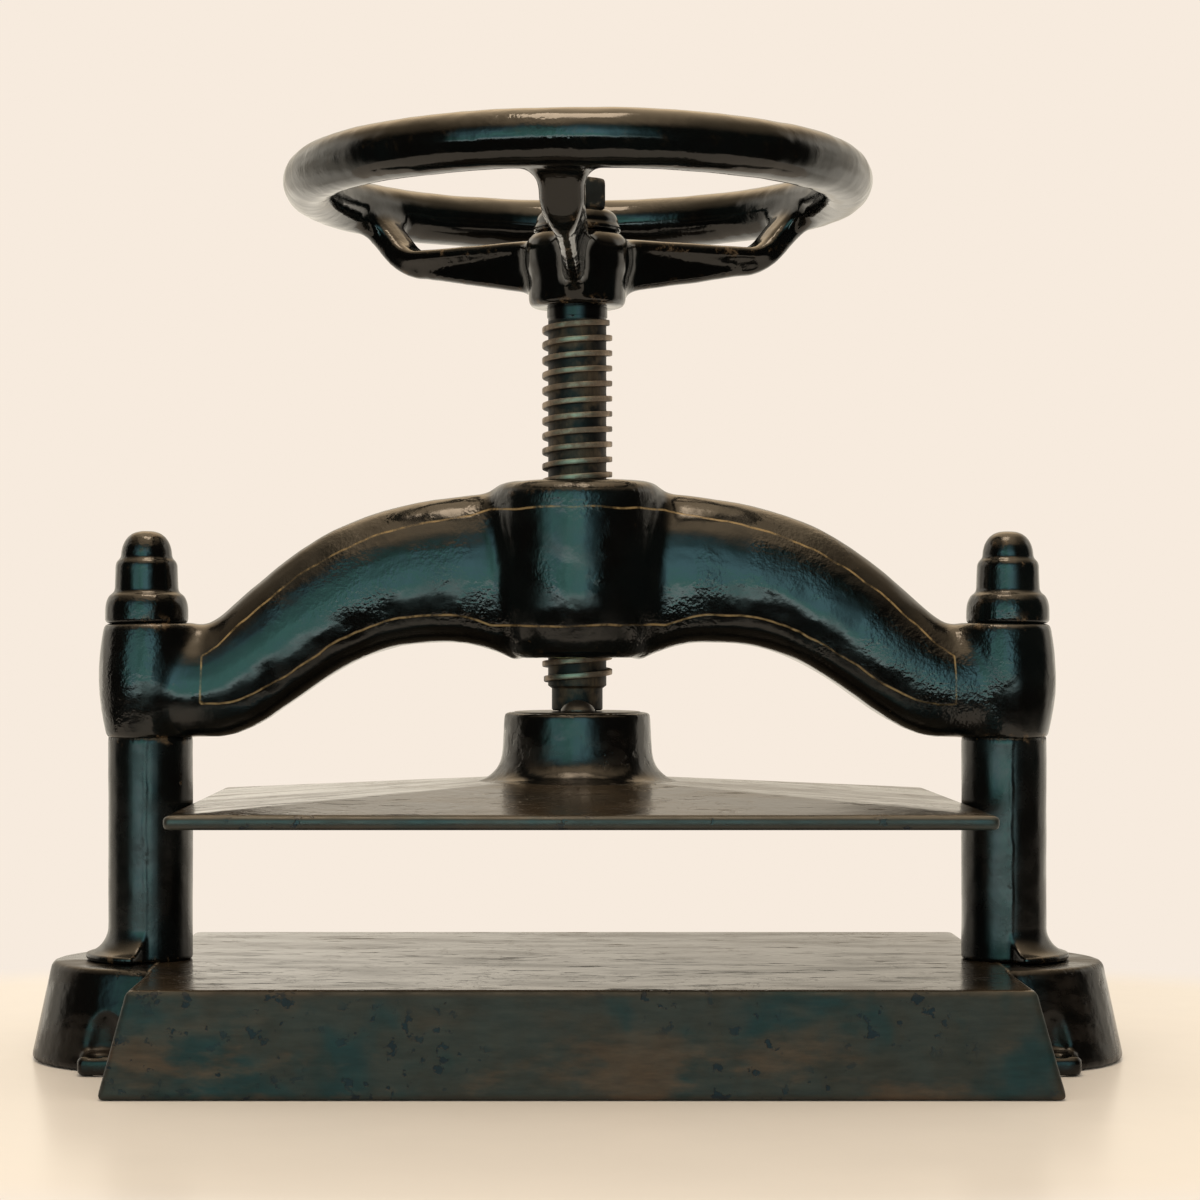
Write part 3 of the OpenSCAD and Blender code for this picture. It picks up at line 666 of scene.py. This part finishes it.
def table_material():
    """A pale polished table top, which for the camera melts into the backdrop towards its edge."""
    n = Nodes("pale_table")
    n.set(Base_Color=TABLE_TOP)
    n.set(Roughness=n.mix_value(n.noise(50 * MM, 4), 0.20, 0.28))
    n.set(IOR=1.22)
    scaled = n.stretched(1 / TABLE_HALF[0], 1 / TABLE_HALF[1], 1)
    reach = n.make("VectorMath", {0: scaled}, operation="LENGTH").outputs["Value"]
    for_camera = n.make("LightPath").outputs["Is Camera Ray"]
    fade = n.times(n.ramp(reach, 0.78, 0.99), for_camera)
    glow = n.make("Emission", {"Color": BACKDROP, "Strength": 1.0})
    both = n.make("MixShader", {0: fade, 1: n.shader.outputs[0], 2: glow.outputs[0]})
    n.tree.links.new(both.outputs[0], n.tree.nodes["Material Output"].inputs["Surface"])
    return n.material


turn = np.linspace(0, 2 * math.pi, TABLE_POINTS, endpoint=False)
table_edge = np.stack([TABLE_HALF[0] * np.cos(turn), TABLE_HALF[1] * np.sin(turn), 0 * turn], 1)
floor = add_mesh("floor", table_edge, np.arange(TABLE_POINTS)[None, :])
floor.data.materials.append(table_material())
floor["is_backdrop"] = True


class Room(Nodes):
    """Even soft light, and for gloss a room: a cream wall behind, a warm ceiling, a cool window in front."""

    def __init__(self):
        world = bpy.data.worlds.new("room")
        scene.world = world
        world.use_nodes = True
        self.tree = world.node_tree
        self.coords = self.tree.nodes.new("ShaderNodeTexCoord").outputs["Generated"]
        path = self.make("LightPath").outputs
        even, reflected = self.light(SOFT_LIGHT), self.light(self.reflection())
        indirect = self.make("MixShader", {0: path["Is Glossy Ray"], 1: even, 2: reflected}).outputs[0]
        backdrop = self.light(BACKDROP)
        all_rays = self.make("MixShader", {0: path["Is Camera Ray"], 1: indirect, 2: backdrop}).outputs[0]
        self.tree.links.new(all_rays, self.tree.nodes["World Output"].inputs["Surface"])

    def light(self, colour):
        return self.make("Background", {"Color": colour, "Strength": 1.0}).outputs[0]

    def reflection(self):
        """What gloss shows: the window's bearing is taken from straight ahead of the press."""
        x, y, z = (self.place(axis) for axis in "XYZ")
        wall = self.ramp(y, 0.08, 0.32)
        paper = self.mix(self.ramp(self.noise(0.7, 2), 0.38, 0.62), WALL_PALE, WALL_DIM)
        ceiling = self.ramp(self.math("ADD", z, self.times(y, 0.12)), 0.42, 0.80)
        overhead = self.inverse(self.ramp(self.math("ABSOLUTE", x), 0.15, 0.65))
        bearing = self.math("ARCTAN2", x, self.math("MULTIPLY", y, -1.0))
        aside = self.math("ABSOLUTE", self.math("ADD", bearing, math.radians(12)))
        across = self.inverse(self.ramp(aside, math.radians(10), math.radians(46)))
        pane = self.times(across, self.ramp(z, -0.13, -0.06), self.inverse(self.ramp(z, 0.15, 0.78)))
        pane = self.times(pane, self.mix_value(self.ramp(self.noise(0.25, 3), 0.3, 0.7), 0.6, 1.25))
        tint = self.mix(self.ramp(self.noise(0.4, 2), 0.4, 0.6), PANE_GREEN, PANE_BLUE)
        sill = self.times(across, self.ramp(z, -0.13, -0.10), self.inverse(self.ramp(z, -0.07, -0.02)))
        colour = self.mix(wall, ROOM_DARK, paper)
        colour = self.mix(ceiling, colour, self.mix(overhead, CEILING_DIM, CEILING_LIT))
        colour = self.mix(pane, colour, tint)
        return self.mix(sill, colour, SILL)


Room()

lamp_place = Vector((-0.05, -0.30, 1.7))
lamp_aim = Vector((0, 0, 0.15))
lamp = bpy.data.objects.new("ceiling_lamp", bpy.data.lights.new("ceiling_lamp", "AREA"))
lamp.data.shape = "RECTANGLE"
lamp.data.size = 0.6
lamp.data.size_y = 0.5
lamp.data.energy = 8.5
lamp.data.color = (1.0, 0.78, 0.56)
lamp.location = lamp_place
lamp.rotation_euler = (lamp_aim - lamp_place).to_track_quat("-Z", "Y").to_euler()
scene.collection.objects.link(lamp)

# Camera: level and square to the press, with the photograph's framing as a shift

camera = bpy.data.objects.new("camera", bpy.data.cameras.new("camera"))
camera.data.sensor_width = 36
camera.data.lens = 82.8
camera.data.shift_x = 65 / IMAGE
camera.data.shift_y = 40 / IMAGE
camera.location = (-0.0177, -1.157, 0.174)
camera.rotation_euler = (math.radians(90), 0, 0)
camera.data.clip_start = 0.02
camera.data.clip_end = 50
scene.collection.objects.link(camera)
scene.camera = camera

scene.view_settings.view_transform = "Standard"

sizes = {"cad": [list(c) for c in cad_box], "visual": [list(c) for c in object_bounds()]}
